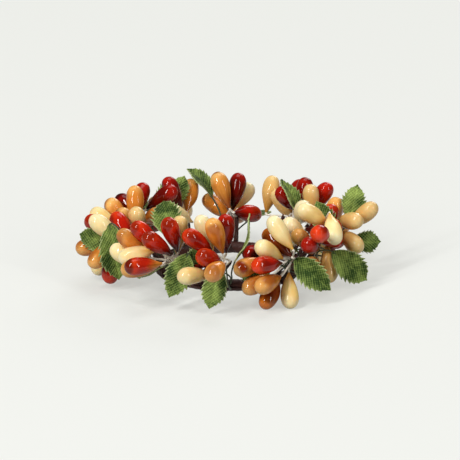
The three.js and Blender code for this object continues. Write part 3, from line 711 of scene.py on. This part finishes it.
@dataclass
class PipBunch:
    """The pips of one colour in one spray, with their stems twisted into one shank."""

    node: str
    hoop: HoopSizes
    pips: list[Pip] = field(default_factory=list)

    # Points round a pip, along it, and round a stem and a shank
    sides: int = 28
    rows: int = 30
    stem_sides: int = 8
    shank_sides: int = 12

    # The share of the length at the CAD's third ring, and how near the wire the shank's tail lies
    third_ring: float = 0.68
    tail_reach: float = 1.25 * MM

    # The stem: its radii, where it starts in the pip, and how far it runs straight on
    neck_radius: float = 0.3 * MM
    stem_radius: float = 0.24 * MM
    strand_radius: float = 0.2 * MM
    stem_start: float = 0.96
    slim_from: float = 0.6
    straight: float = 0.8 * MM
    straight_share: float = 0.3
    corner_rounds: int = 3

    # The twisted strands and the tape round them
    knot_drop: float = 0.84 * MM
    twist: float = 2.4 * MM
    strand_spread: float = 0.21 * MM
    tape_start: float = 0.1 * MM
    tape_turn: float = 0.9 * MM
    tape_closing: float = 0.6 * MM
    shank_radius: float = 0.46 * MM
    shank_lap: float = 0.08 * MM

    # Heights of the lumps, as shares of the radius, and the sideways bend
    oval: float = 0.022
    dent: float = 0.014
    swell: float = 0.02
    groove: float = 0.012
    lean: float = 0.16 * MM

    # The painted dark reflection and shade on a pip's outer side: how high and how far astray it looks,
    # where it starts, and its soft edge
    dark_reflection_rise: float = 0.45
    dark_reflection_stray: float = 0.35
    dark_reflection_edge: float = 0.62
    dark_reflection_blur: float = 0.34

    # Half outline of a pip: share of its length from the tip, and share of its radius
    OUTLINE = ((0.0, 0.0), (0.015, 0.3), (0.04, 0.52), (0.1, 0.76), (0.2, 0.94), (0.32, 1.0), (0.46, 0.96),
               (0.58, 0.86), (0.7, 0.69), (0.8, 0.5), (0.9, 0.3), (0.96, 0.18), (1.0, 0.125))
    RADIUS = 2.25 * MM
    WIDEST = 0.32

    def read(self, walk: SolidWalk) -> None:
        """Finds the pips of the node: each starts at a pole with eight neighbours, then come three
        rings of eight and the neck.

        Args:
            walk: the node's merged points.
        """
        for pole in walk.poles(8):
            rings = walk.rings([pole], 4)
            if len(rings) < 4 or any(len(ring) != 8 for ring in rings[:3]):
                continue
            tip = np.array(pole.co)
            run = rings[2].mean(axis=0) - tip
            self.pips.append(Pip(tip, unit(run), float(np.linalg.norm(run)) / self.third_ring))

    def shank(self, walk: SolidWalk) -> Shank:
        """Finds the shank from the end of its tail, which lies next to the hoop's wire: the five
        points that come first round the hoop, then ring by ring from there.

        Args:
            walk: the node's merged points.

        Returns:
            The shank.
        """
        places = np.array([vertex.co for vertex in walk.mesh.verts]) - self.hoop.centre
        from_wire = np.hypot(np.hypot(places[:, 0], places[:, 1]) - self.hoop.radius, places[:, 2])
        azimuth = np.arctan2(places[:, 1], places[:, 0])
        close = np.flatnonzero(from_wire < self.tail_reach)
        middle = np.arctan2(np.sin(azimuth[close]).sum(), np.cos(azimuth[close]).sum())
        lead = (azimuth[close] - middle + math.pi) % TAU - math.pi
        walk.mesh.verts.ensure_lookup_table()
        end = [walk.mesh.verts[int(k)] for k in close[np.argsort(lead)][:5]]
        _, under, leaving, below = (ring.mean(axis=0) for ring in walk.rings(end, 4))
        return Shank(below + unit(below - leaving) * self.knot_drop, leaving, under)

    def build(self, lacquer: Material, thread: Material, tape: Material) -> list[Object]:
        """Builds the bunch.

        Args:
            lacquer: the finish of the pips.
            thread: the finish of the stems.
            tape: the finish of the tape over the shank.

        Returns:
            The pips, the stems and the taped shank, as three objects.
        """
        walk = SolidWalk(self.node)
        self.read(walk)
        shank = self.shank(walk)
        walk.mesh.free()
        drops, stems, binding = Surface(), Surface(), Surface()
        _, spray, family, _ = self.node.split("_")
        tones = TONES.get(f"{spray}_{family}", f"{family.upper()} " * len(self.pips)).split()
        for number, (pip, tone) in enumerate(zip(self.pips, tones, strict=True)):
            self.add_drop(drops, pip, Tone[tone], np.random.default_rng([number, *self.node.encode()]))
            self.add_stem(stems, pip, shank)
        self.add_binding(binding, shank)
        return [drops.to_object(f"{self.node}_drops", lacquer),
                stems.to_object(f"{self.node}_stems", thread, "turn", "run"),
                binding.to_object(f"{self.node}_shank", tape, "turn", "run")]

    def add_binding(self, surface: Surface, shank: Shank) -> None:
        """Adds the tape round the shank, from the knot to under the hoop's tape. Its radius rises by
        one lap over each turn and then drops, and it closes in at the upper end.

        Args:
            surface: the surface to add to.
            shank: the shank.
        """
        path = shank.line(shank.knot + shank.down * self.tape_start, 16)
        run = run_along(path)[:, None]
        turn = run / self.tape_turn - angles(self.shank_sides) / TAU
        lap = turn - np.floor(turn)
        closing = 0.55 + 0.45 * ease(run, 0.0, self.tape_closing)
        radius = (self.shank_radius + self.shank_lap * lap) * closing
        surface.add_tube(path, radius, self.shank_sides, shank.down, lap=lap)

    def add_drop(self, surface: Surface, pip: Pip, tone: Tone, seed: np.random.Generator) -> None:
        """Adds a pip: its outline turned round its axis, with a lean to one side and low lumps, so
        that no two are the same.

        Args:
            surface: the surface to add to.
            pip: the pip.
            tone: its dye, and the colour and strength of its painted dark reflection and shade.
            seed: its own random numbers.
        """
        # Rows lie closer at both ends
        even = np.linspace(0.0, 1.0, self.rows)
        share = 0.65 * (1 - np.cos(math.pi * even)) / 2 + 0.35 * even
        share[0], share[-1] = 0.002, 1.0
        s, angle = share[:, None], angles(self.sides)
        phases = seed.uniform(0.0, TAU, 4)
        lumps = 1 + self.oval * np.sin(2 * angle + phases[0]) * np.sin(math.pi * s)
        lumps = lumps + self.dent * np.sin(3 * angle + phases[1] + 5 * s)
        lumps = lumps * (1 + self.swell * np.sin(9 * s + phases[2]))
        lumps = lumps + self.groove * np.sin(6 * angle + phases[3]) * ease(s, 0.0, 0.4)
        side = square_to(pip.axis)
        across = np.cross(pip.axis, side)
        lean = seed.uniform(-self.lean, self.lean, 2)
        bend = np.sin(math.pi * s) * (side * lean[0] + across * lean[1])
        spine = pip.tip + pip.axis * pip.length * s + bend
        ring = circle(angle, side, across)
        radius = read_outline(s, self.OUTLINE) * self.RADIUS * lumps
        # The painted dark reflection and shade faces outward from the hoop, tilted upward and a little
        # astray for each pip
        outer = pip.tip - self.hoop.centre
        outer = outer * (1.0, 1.0, 0.0) + (0.0, 0.0, self.dark_reflection_rise * np.linalg.norm(outer[:2]))
        outer = unit(unit(outer) + seed.uniform(-self.dark_reflection_stray, self.dark_reflection_stray, 3))
        slope = math.pi * np.interp(s, (0.0, self.WIDEST, 1.0), (0.0, 0.5, 0.62))[..., None]
        facing = (np.sin(slope) * ring - np.cos(slope) * pip.axis) @ outer
        colours = self.dye(tone, s, angle, facing, seed)
        surface.add_grid(spine[:, None] + radius[..., None] * ring, colours=colours)

    def dye(self, tone: Tone, share: Array, angle: Array, facing: Array, seed: np.random.Generator) -> Array:
        """The colour over a pip. Its dye runs from tip to body over the first third of the length and from
        body to neck beyond its half, and both runs waver round the pip. Streaks come from the neck, and a
        soft oval of painted dark reflection and shade lies on the outer, upper side.

        Args:
            tone: the pip's tone.
            share: share of the length, as a column.
            angle: angle round the pip, as a row.
            facing: how far each point looks outward, up to 1.
            seed: the pip's own random numbers.

        Returns:
            Linear colours, rows by columns by 3.
        """
        tip, body, neck, dark_reflection = (np.array(linear(colour)[:3]) for colour in tone.value[:4])
        phases = seed.uniform(0.0, TAU, 5)
        off_tip = ease(share, 0.0, 0.25)
        run = share + (0.05 * np.sin(2 * angle + phases[0]) + 0.03 * np.sin(5 * angle + phases[1])) * off_tip
        to_body = ease(run, 0.04, 0.3)[..., None]
        to_neck = ease(run, 0.5, 0.42)[..., None]
        lines = np.sin(3 * angle + phases[2]) * np.sin(8 * angle + phases[3])
        streaks = ease(lines, 0.1, 0.8) * ease(run, 0.2, 0.5) * 0.48
        # Where a point faces outward enough, the painted dark reflection and shade covers it, with a
        # wavering edge
        edge = facing + 0.1 * np.sin(3 * angle + phases[4]) * off_tip + 0.08 * np.sin(14 * share + phases[0])
        oval = ease(edge, self.dark_reflection_edge, self.dark_reflection_blur)
        # The dye's streaks and the painted dark reflection and shade, mixed in by the tone's strength
        streaks_and_reflection = np.maximum(oval, streaks)[..., None] * tone.value[4]
        colour = (tip * (1 - to_body) + body * to_body) * (1 - to_neck) + neck * to_neck
        return (colour * (1 - streaks_and_reflection) + dark_reflection * streaks_and_reflection) * seed.uniform(0.9, 1.1)

    def add_stem(self, surface: Surface, pip: Pip, shank: Shank) -> None:
        """Adds a stem: a rounded path from the pip's neck to the rim of the taped shank, on the pip's
        own side, then one strand of the twist inside, a helix round the shank's middle.

        Args:
            surface: the surface to add to.
            pip: the pip at its end.
            shank: the shank that it joins.
        """
        neck = pip.tip + pip.axis * pip.length
        inner = shank.line(shank.knot, 9)
        side, across = carry(inner, square_to(shank.down))
        apart = neck - shank.knot
        phase = math.atan2(float(apart @ across[0]), float(apart @ side[0]))
        phase = (phase + TAU * run_along(inner) / self.twist)[:, None]
        spread = 0.0 if len(self.pips) == 1 else self.strand_spread
        strand = inner + (np.cos(phase) * side + np.sin(phase) * across) * spread
        start = pip.tip + pip.axis * pip.length * self.stem_start
        on = neck + pip.axis * min(self.straight_share * float(np.linalg.norm(apart)), self.straight)
        outer = cut_corners([start, on, strand[0], strand[1]], self.corner_rounds)[:-1]
        path, reach = np.vstack([outer, strand[1:]]), len(outer)
        radii = np.interp(np.arange(len(path)), [0, reach * self.slim_from, reach],
                          [self.neck_radius, self.stem_radius, self.strand_radius])
        surface.add_tube(path, radii[:, None], self.stem_sides, path[1] - path[0])


@dataclass
class ClothLeaf:
    """One die-cut leaf of woven cloth on its own stem."""

    node: str
    bow_share: float = 0.1
    fold: float = 0.12
    fold_round: float = 0.25 * MM
    thickness: float = 0.26 * MM
    columns: int = 25
    lean: float = 0.42
    ripple: float = 0.22 * MM
    curl: float = 0.6 * MM
    twist: float = 32.0
    stem_radius: float = 0.2 * MM
    stem_sides: int = 8

    # The toothed stretch of the edge as shares of the length, and how unevenly it is cut
    teeth: int = 8
    tooth_rows: int = 8
    teeth_start: float = 0.06
    teeth_span: float = 0.9
    shallow: float = 0.12
    deep: float = 0.26
    fray: float = 0.045 * MM
    least_half: float = 0.02 * MM

    # Half widths of the veins, how deep they are pressed, and how far the side veins slant
    rib: float = 0.22 * MM
    side_vein: float = 0.2 * MM
    vein_depth: float = 0.1 * MM
    vein_slant: float = 1.1

    # Shares of the length, from the tip, of the CAD's cross sections
    SECTIONS = (0.1, 0.14, 0.3, 0.34, 0.52, 0.56, 0.75, 0.79, 0.94)
    FULL_SECTION = 5

    # Half outline without its teeth: share of the length from the tip, share of the half width
    OUTLINE = ((0.0, 0.0), (0.08, 0.2), (0.2, 0.5), (0.34, 0.77), (0.5, 0.97), (0.62, 1.0), (0.76, 0.93),
               (0.88, 0.66), (0.96, 0.3), (1.0, 0.07))

    def read(self) -> None:
        """Finds the leaf's frame and stalk. From its tip come fifteen rings of four. The middle of
        each section lies at tip - A s + N sin(pi s), so A and N come from least squares."""
        walk = SolidWalk(self.node)
        found = [(np.array(pole.co), walk.rings([pole], 15)) for pole in walk.mesh.verts
                 if len(pole.link_edges) == 4]
        walk.mesh.free()
        ends = [(tip, rings) for tip, rings in found if [len(ring) for ring in rings] == [4] * 15]
        if not ends:
            raise ValueError(f"{self.node}: no tip found")
        self.tip, rings = ends[-1]
        middles, widths = [], []
        for ring in rings[:len(self.SECTIONS)]:
            apart = np.linalg.norm(ring[:, None] - ring[None], axis=-1)
            edges = np.unravel_index(apart.argmax(), apart.shape)
            middles.append(np.delete(ring, edges, axis=0).mean(axis=0))
            widths.append(float(apart.max()))
        s = np.array(self.SECTIONS)
        basis = np.stack([-s, np.sin(math.pi * s)], axis=1)
        (run, bow), *_ = np.linalg.lstsq(basis, np.array(middles) - self.tip, rcond=None)
        self.length = float(np.linalg.norm(run))
        self.along, self.normal = unit(run), unit(bow)
        self.across = np.cross(self.normal, self.along)
        self.foot = self.tip - self.along * self.length
        self.width = widths[self.FULL_SECTION]
        self.stalk = [ring.mean(axis=0) for ring in rings[9:13]]

    def place(self, share: Array, offset: Array, height: Array) -> Array:
        """Places points on the leaf: along it, across it, and off it by its bow, fold and height.

        Args:
            share: share of the length, from the tip.
            offset: distance across, in metres.
            height: further height off the leaf.

        Returns:
            The points.
        """
        bow = self.bow_share * self.length * np.sin(math.pi * np.clip(share, 0.0, 1.0))
        fold = 2 * self.fold * (np.sqrt(offset ** 2 + self.fold_round ** 2) - self.fold_round)
        return (self.foot + (self.length * (1 - share))[..., None] * self.along
                + offset[..., None] * self.across + (bow + fold + height)[..., None] * self.normal)

    def half_width(self, share: Array, depths: Array) -> Array:
        """The outline: a smooth oval with teeth. Each tooth steps out on its tip side and falls back
        slowly to the next.

        Args:
            share: share of the length, from the tip.
            depths: how deep each tooth is cut, as a share of the half width.

        Returns:
            The half width, in metres.
        """
        step = np.clip((share - self.teeth_start) / self.teeth_span, 0.0, 0.9999) * self.teeth
        cut = depths[step.astype(int)] * (step - np.floor(step)) ** 0.8 - 0.02
        toothed = (share > self.teeth_start) & (share < self.teeth_start + self.teeth_span)
        return read_outline(share, self.OUTLINE) * (1 - np.where(toothed, cut, 0.1)) * self.width / 2

    def build(self, cloth: Material, thread: Material) -> list[Object]:
        """Builds the leaf.

        Args:
            cloth: the finish of the blade.
            thread: the finish of the stalk.

        Returns:
            The blade and the stalk.
        """
        self.read()
        seed = np.random.default_rng(list(self.node.encode()))
        light_and_fold = LEAF_LIGHT_AND_FOLD.get(self.node)
        if light_and_fold is not None:
            self.fold = light_and_fold.fold
        # Rows of the edge: some at each tooth, closest at its step, and a few at the tip and foot
        saw = np.concatenate([[0.001, 0.08], np.linspace(0.2, 0.985, self.tooth_rows - 2)])
        inner = (np.arange(self.teeth)[:, None] + saw).reshape(-1) / self.teeth
        share = np.concatenate([[0.0, 0.015, 0.03, 0.045], inner * self.teeth_span + self.teeth_start,
                                [0.965, 0.98, 1.0]])
        half = self.half_width(share, seed.uniform(self.shallow, self.deep, self.teeth))
        half = np.maximum(half + seed.normal(0.0, self.fray, len(share)) * (share > 0.0), self.least_half)
        share = share[:, None]
        h = np.linspace(-1.0, 1.0, self.columns)
        across = np.sign(h) * np.abs(h) ** 0.9
        offset = half[:, None] * across
        within = ease(share, 0.0, 0.15) * ease(1.0 - share, 0.0, 0.15)
        rows = share - self.lean * np.abs(offset) / self.length * within
        phases = seed.uniform(0.0, TAU, 3)
        wave = np.sin(TAU * 1.6 * rows + phases[0] + (h > 0) * phases[1]) * across ** 2
        vein = self.veins(rows, offset)
        curl = self.curl * seed.uniform(-1.0, 1.0) * across ** 2 * ease(2 * np.sin(math.pi * share))
        twist = math.radians(self.twist) * seed.uniform(-1.0, 1.0) * (0.5 - rows)
        lift = wave * self.ripple - vein * self.vein_depth + curl + offset * np.tan(twist)
        # How pale the leaf is drawn: partly painted light and shade, partly a paler dye of its own; leaves
        # not listed get a random value
        fade = float(seed.uniform(0.0, 1.0)) if light_and_fold is None else light_and_fold.fade
        # Paler towards the sides and towards the tip; the underside gets the paler half of the range
        pale = fade + 0.35 * np.abs(h) ** 3 * (1 - 0.6 * rows)
        edge = 0.8 * ease(np.abs(h), 0.86, 0.14) * np.ones_like(rows)
        run = rows * self.length

        def wrap(below: Array, above: Array) -> Array:
            """Goes across the underside and back over the top."""
            return np.concatenate([below, above[:, ::-1]], axis=1)

        below, above = (self.place(rows, offset, lift + self.thickness * k) for k in (-0.5, 0.5))
        surface = Surface()
        surface.add_grid(wrap(below, above), vein=wrap(vein * 0.5, vein), edge=wrap(edge, edge),
                         pale=wrap(0.5 + pale * 0.5, pale * 0.5), cloth_u=wrap(offset, offset),
                         cloth_v=wrap(run, run))
        blade = surface.to_object(f"{self.node}_blade", cloth, "cloth_u", "cloth_v")
        return [blade, self.build_stalk(thread)]

    def veins(self, rows: Array, offset: Array) -> Array:
        """How deep a vein is pressed at each point: a midrib, and side veins that slant forward, one
        to a tooth.

        Args:
            rows: share of the length, from the tip.
            offset: distance across, in metres.

        Returns:
            0 for none, up to 1.
        """
        slant = (rows - self.teeth_start) / self.teeth_span + self.vein_slant * np.abs(offset) / self.length
        slant = slant * self.teeth
        near = np.abs(slant - np.round(slant)) / self.teeth * self.length
        side = np.exp(-(near / self.side_vein) ** 2) * ease(1.0 - rows, 0.0, 0.1) * 0.7
        return np.maximum(np.exp(-(offset / self.rib) ** 2), side) * ease(rows, 0.0, 0.08)

    def build_stalk(self, thread: Material) -> Object:
        """Builds the stalk: a smooth path from under the tape to the leaf's foot, in one finish."""
        root = self.place(np.array([0.9]), np.array([0.0]), np.array([-self.vein_depth]))[0]
        points = [root, self.foot, *self.stalk]
        path = route(points, headings_through(points), 6)
        surface = Surface()
        surface.add_tube(path, np.full((len(path), 1), self.stem_radius), self.stem_sides, path[1] - path[0])
        return surface.to_object(f"{self.node}_stalk", thread, "turn", "run")


@dataclass
class TapedHoop:
    """The tape wound round the hoop, each turn lapping the one before."""

    hoop: HoopSizes
    turns: int = 19
    rows_per_turn: int = 22
    sides: int = 36
    lap: float = 0.16 * MM
    crease: float = 0.03 * MM
    creases: int = 61

    def build(self, tape: Material) -> Object:
        """Builds the tape. Its section's radius rises by one lap over each turn and then drops, and
        the rows of the mesh follow the tape's slanting edge.

        Args:
            tape: its finish.

        Returns:
            The tape.
        """
        rows = self.turns * self.rows_per_turn
        step = np.concatenate([[0.0, 0.05], np.linspace(0.1, 0.95, self.rows_per_turn - 3), [0.985]])
        turn = (np.arange(self.turns)[:, None] + step).reshape(-1, 1)
        angle = angles(self.sides)
        azimuth = (turn - angle / TAU) / self.turns * TAU
        full = np.ones_like(azimuth)
        saw = np.tile(step, self.turns)[:, None] * full
        crease = self.crease * np.sin(azimuth * self.creases + 2 * np.sin(3 * angle))
        radius = self.hoop.tape - self.lap * (1 - ease(saw * 1.05)) + crease
        out = self.hoop.radius + radius * np.cos(angle)
        grid = np.stack([out * np.cos(azimuth), out * np.sin(azimuth), radius * np.sin(angle)], axis=-1)
        # The last column joins the first one a whole turn of tape further on
        index = np.arange(rows * self.sides).reshape(rows, self.sides)
        right = np.column_stack([index[:, 1:], np.roll(index[:, 0], -self.rows_per_turn)])
        faces = np.stack([index, np.roll(index, -1, axis=0), np.roll(right, -1, axis=0), right], axis=-1)
        around = np.minimum(angle, TAU - angle) * self.hoop.tape * full
        numbers = {"lap": saw, "cloth_u": azimuth * self.hoop.radius, "cloth_v": around}
        surface = Surface([(grid + self.hoop.centre).reshape(-1, 3)], [faces.reshape(-1, 4)],
                          {name: [number.reshape(-1)] for name, number in numbers.items()})
        return surface.to_object("tape_winding", tape, "cloth_u", "cloth_v")


@dataclass
class Studio:
    """A pale floor and soft lights, with the camera at the photograph's angle."""

    hoop: HoopSizes
    elevation: float = 16.0
    distance: float = 1.1
    sensor: float = 36.0
    pixels: int = 460
    pixels_per_mm: float = 3.96
    hoop_pixel: tuple[float, float] = (228.0, 265.9)
    floor_reach: float = 3.0
    sky: str = "#f4f5f6"
    sky_light: float = 0.1

    # Name, place from the ring, width and height, all in metres, and watts
    LAMPS = (("key", (-0.75, -1.0, 1.0), (0.16, 1.25), 22.0), ("fill", (1.0, -1.1, 0.75), (0.14, 0.9), 7.5),
             ("top", (0.1, 0.3, 1.5), (0.9, 0.9), 6.0), ("back", (0.5, 1.3, 0.8), (0.7, 0.7), 8.0))

    def build(self) -> None:
        """Builds the camera, floor, world and lights."""
        self.add_camera()
        self.add_floor()
        self.add_world()
        for lamp in self.LAMPS:
            self.add_lamp(*lamp)

    def add_camera(self) -> None:
        """Places the camera, so that the hoop's middle falls on its pixel in the photograph."""
        tilt = math.radians(self.elevation)
        toward = np.array([0.0, math.cos(tilt), -math.sin(tilt)])
        up = np.array([0.0, math.sin(tilt), math.cos(tilt)])
        half, pixel = self.pixels / 2, MM / self.pixels_per_mm
        shift = np.array([half - self.hoop_pixel[0], self.hoop_pixel[1] - half]) * pixel
        camera = bpy.data.cameras.new("camera")
        camera.sensor_width = self.sensor
        camera.lens = self.sensor * self.distance / (self.pixels * pixel)
        camera.clip_start, camera.clip_end = 0.01, 20.0
        thing = bpy.data.objects.new("camera", camera)
        thing.location = self.hoop.centre + (shift[0], 0.0, 0.0) + up * shift[1] - toward * self.distance
        thing.rotation_euler = (math.radians(90.0 - self.elevation), 0.0, 0.0)
        bpy.context.scene.collection.objects.link(thing)
        bpy.context.scene.camera = thing

    def add_floor(self) -> None:
        """Adds the floor: a wide level sheet under the lowest berries."""
        line = np.linspace(-self.floor_reach, self.floor_reach, 9)
        u, v = np.meshgrid(line, line, indexing="ij")
        surface = Surface()
        surface.add_grid(np.stack([u, v, np.full_like(u, CAD_BOX[0][2])], axis=-1), closed=False)
        surface.to_object("floor", FLOOR.build())

    def add_world(self) -> None:
        """Gives the world an even pale light."""
        world = bpy.data.worlds.new("studio")
        world.use_nodes = True
        background = world.node_tree.nodes["Background"].inputs
        background[0].default_value, background[1].default_value = linear(self.sky), self.sky_light
        bpy.context.scene.world = world

    def add_lamp(self, name: str, offset: tuple, size: tuple, power: float) -> None:
        """Adds a soft box lamp that faces the ring.

        Args:
            name: the lamp's name.
            offset: its place from the ring.
            size: its width and height, in metres.
            power: its power in watts.
        """
        lamp = bpy.data.lights.new(name, "AREA")
        lamp.shape = "RECTANGLE"
        lamp.size, lamp.size_y = size
        lamp.energy = power
        thing = bpy.data.objects.new(name, lamp)
        thing.location = self.hoop.centre + offset
        down = -unit(np.array(offset))
        thing.rotation_euler = (math.acos(-down[2]), 0.0, math.atan2(-down[0], down[1]))
        bpy.context.scene.collection.objects.link(thing)


def dress(pieces: list[Object], node: str, slots: list[str]) -> None:
    """Lets pieces ride on the ring's body and stand for a CAD node.

    Args:
        pieces: the new pieces.
        node: the CAD node that they replace.
        slots: a material slot for each piece, not used beyond matching the pieces one for one.
    """
    for piece, slot in zip(pieces, slots, strict=True):
        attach(piece, BODY)
        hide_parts(node)
        LOG.info("%s: %d faces, for %s", piece.name, len(piece.data.polygons), node)


def main() -> None:
    """Builds every piece and the studio."""
    logging.basicConfig(level=logging.INFO, format="%(message)s")
    hoop = hoop_sizes()
    thread, stalk_thread, cloth, tape = (finish.build() for finish in (THREAD, STALK_THREAD, CLOTH, TAPE))
    coats = {colour: finish.build() for colour, finish in LACQUERS.items()}
    total = 0
    for node in sorted(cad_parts):
        if node.endswith("_pips"):
            colour = node.split("_")[2]
            bunch = PipBunch(node, hoop)
            slot = LACQUERS[colour].slot
            dress(bunch.build(coats[colour], thread, tape), node, [slot, slot, TAPE.slot])
            total += len(bunch.pips)
        elif "_leaf_" in node:
            dress(ClothLeaf(node).build(cloth, stalk_thread), node, [CLOTH.slot, CLOTH.slot])
    LOG.info("pips in all: %d", total)
    dress([TapedHoop(hoop).build(tape)], "tape_wrap", [TAPE.slot])
    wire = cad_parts["hoop_wire"]
    wire.data.materials.clear()
    wire.data.materials.append(STEEL.build())
    Studio(hoop).build()
    bpy.context.scene.view_settings.view_transform = "Standard"


if __name__ == "__main__":
    main()
